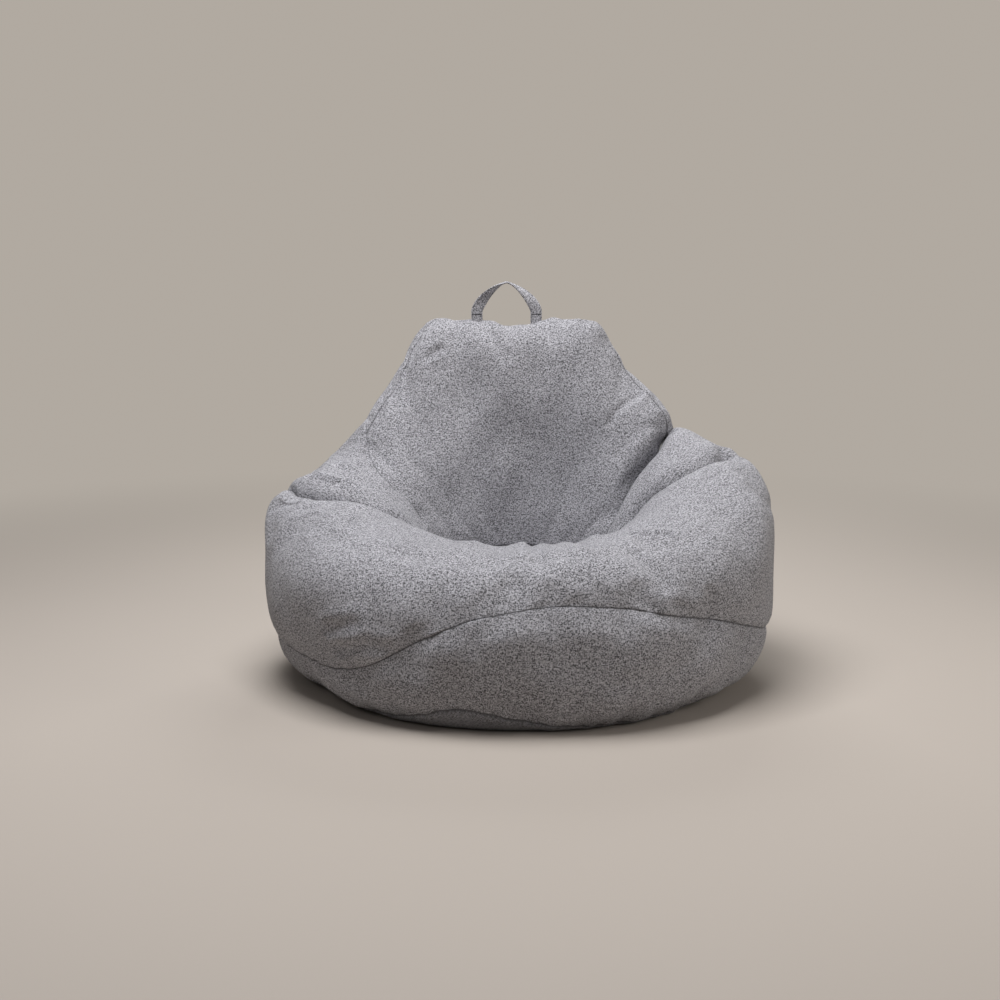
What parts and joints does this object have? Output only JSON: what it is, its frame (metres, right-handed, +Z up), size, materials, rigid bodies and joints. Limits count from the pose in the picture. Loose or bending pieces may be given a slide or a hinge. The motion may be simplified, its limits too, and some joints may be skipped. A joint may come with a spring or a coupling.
{
  "type": "bean bag chair",
  "caption": "Soft floor chair: a bead-filled fabric bag with a scooped seat, a tall back, low arms, a carry handle on the top edge and a zip round the lower back.",
  "frame": {"origin": "on the floor, at the middle of the flat base panel", "axes": "+Z up from the floor, -Y towards the front of the seat, +X across the arms"},
  "size_m": [1.0962, 0.9998, 0.854],
  "materials": {
    "cover_fabric": "heathered grey linen-look weave",
    "thread": "dark grey sewing thread",
    "zip_tape": "black woven zip tape",
    "zip_coil": "black nylon coil",
    "zip_metal": "dark nickel-plated zinc",
    "label_tape": "blank white satin tape",
    "liner_fabric": "off-white spun polyester",
    "liner_zip_tape": "off-white woven zip tape",
    "liner_zip_coil": "off-white nylon coil",
    "beads": "soft mass of white expanded foam beads"
  },
  "bodies": {
    "bag": {"base_panel": "cover_fabric", "front_gusset": "cover_fabric", "rear_gusset": "cover_fabric", "bolster_panel": "cover_fabric", "seat_panel": "cover_fabric", "backrest_panel": "cover_fabric", "left_wing_panel": "cover_fabric", "right_wing_panel": "cover_fabric", "rear_panel": "cover_fabric", "handle_feet": "cover_fabric", "handle_bartacks": "thread", "zip_tape_upper": "zip_tape", "zip_tape_lower": "zip_tape", "zip_coil_upper": "zip_coil", "zip_coil_lower": "zip_coil", "zip_end_stops": "zip_metal", "care_label": "label_tape", "inner_liner": "liner_fabric", "liner_zip_tapes": "liner_zip_tape", "liner_zip_coils": "liner_zip_coil", "liner_zip_end_stops": "zip_metal", "bead_filling": "beads"},
    "handle": {"handle_strap": "cover_fabric"},
    "slider": {"zip_slider": "zip_metal"},
    "pull": {"zip_pull": "zip_metal"},
    "liner_slider": {"liner_zip_slider": "zip_metal"}
  },
  "joints": [
    {"name": "handle_fold", "type": "hinge", "parent": "bag", "child": "handle", "pos_m": [-0.03, 0.32, 0.7845], "axis": [1, 0, 0], "range_deg": [-95, 90], "stiffness_Nm_per_rad": 0.02},
    {"name": "zip_slide", "type": "hinge", "parent": "bag", "child": "slider", "pos_m": [0, 0, 0.22], "axis": [0, 0, 1], "range_deg": [0, 75]},
    {"name": "pull_swing", "type": "hinge", "parent": "slider", "child": "pull", "pos_m": [0.30569, 0.39781, 0.22], "axis": [0.7929, -0.6093, 0], "range_deg": [0, 160]},
    {"name": "liner_zip_slide", "type": "hinge", "parent": "bag", "child": "liner_slider", "pos_m": [0, 0, 0.0967], "axis": [0, 0, 1], "range_deg": [-59, 0]}
  ]
}
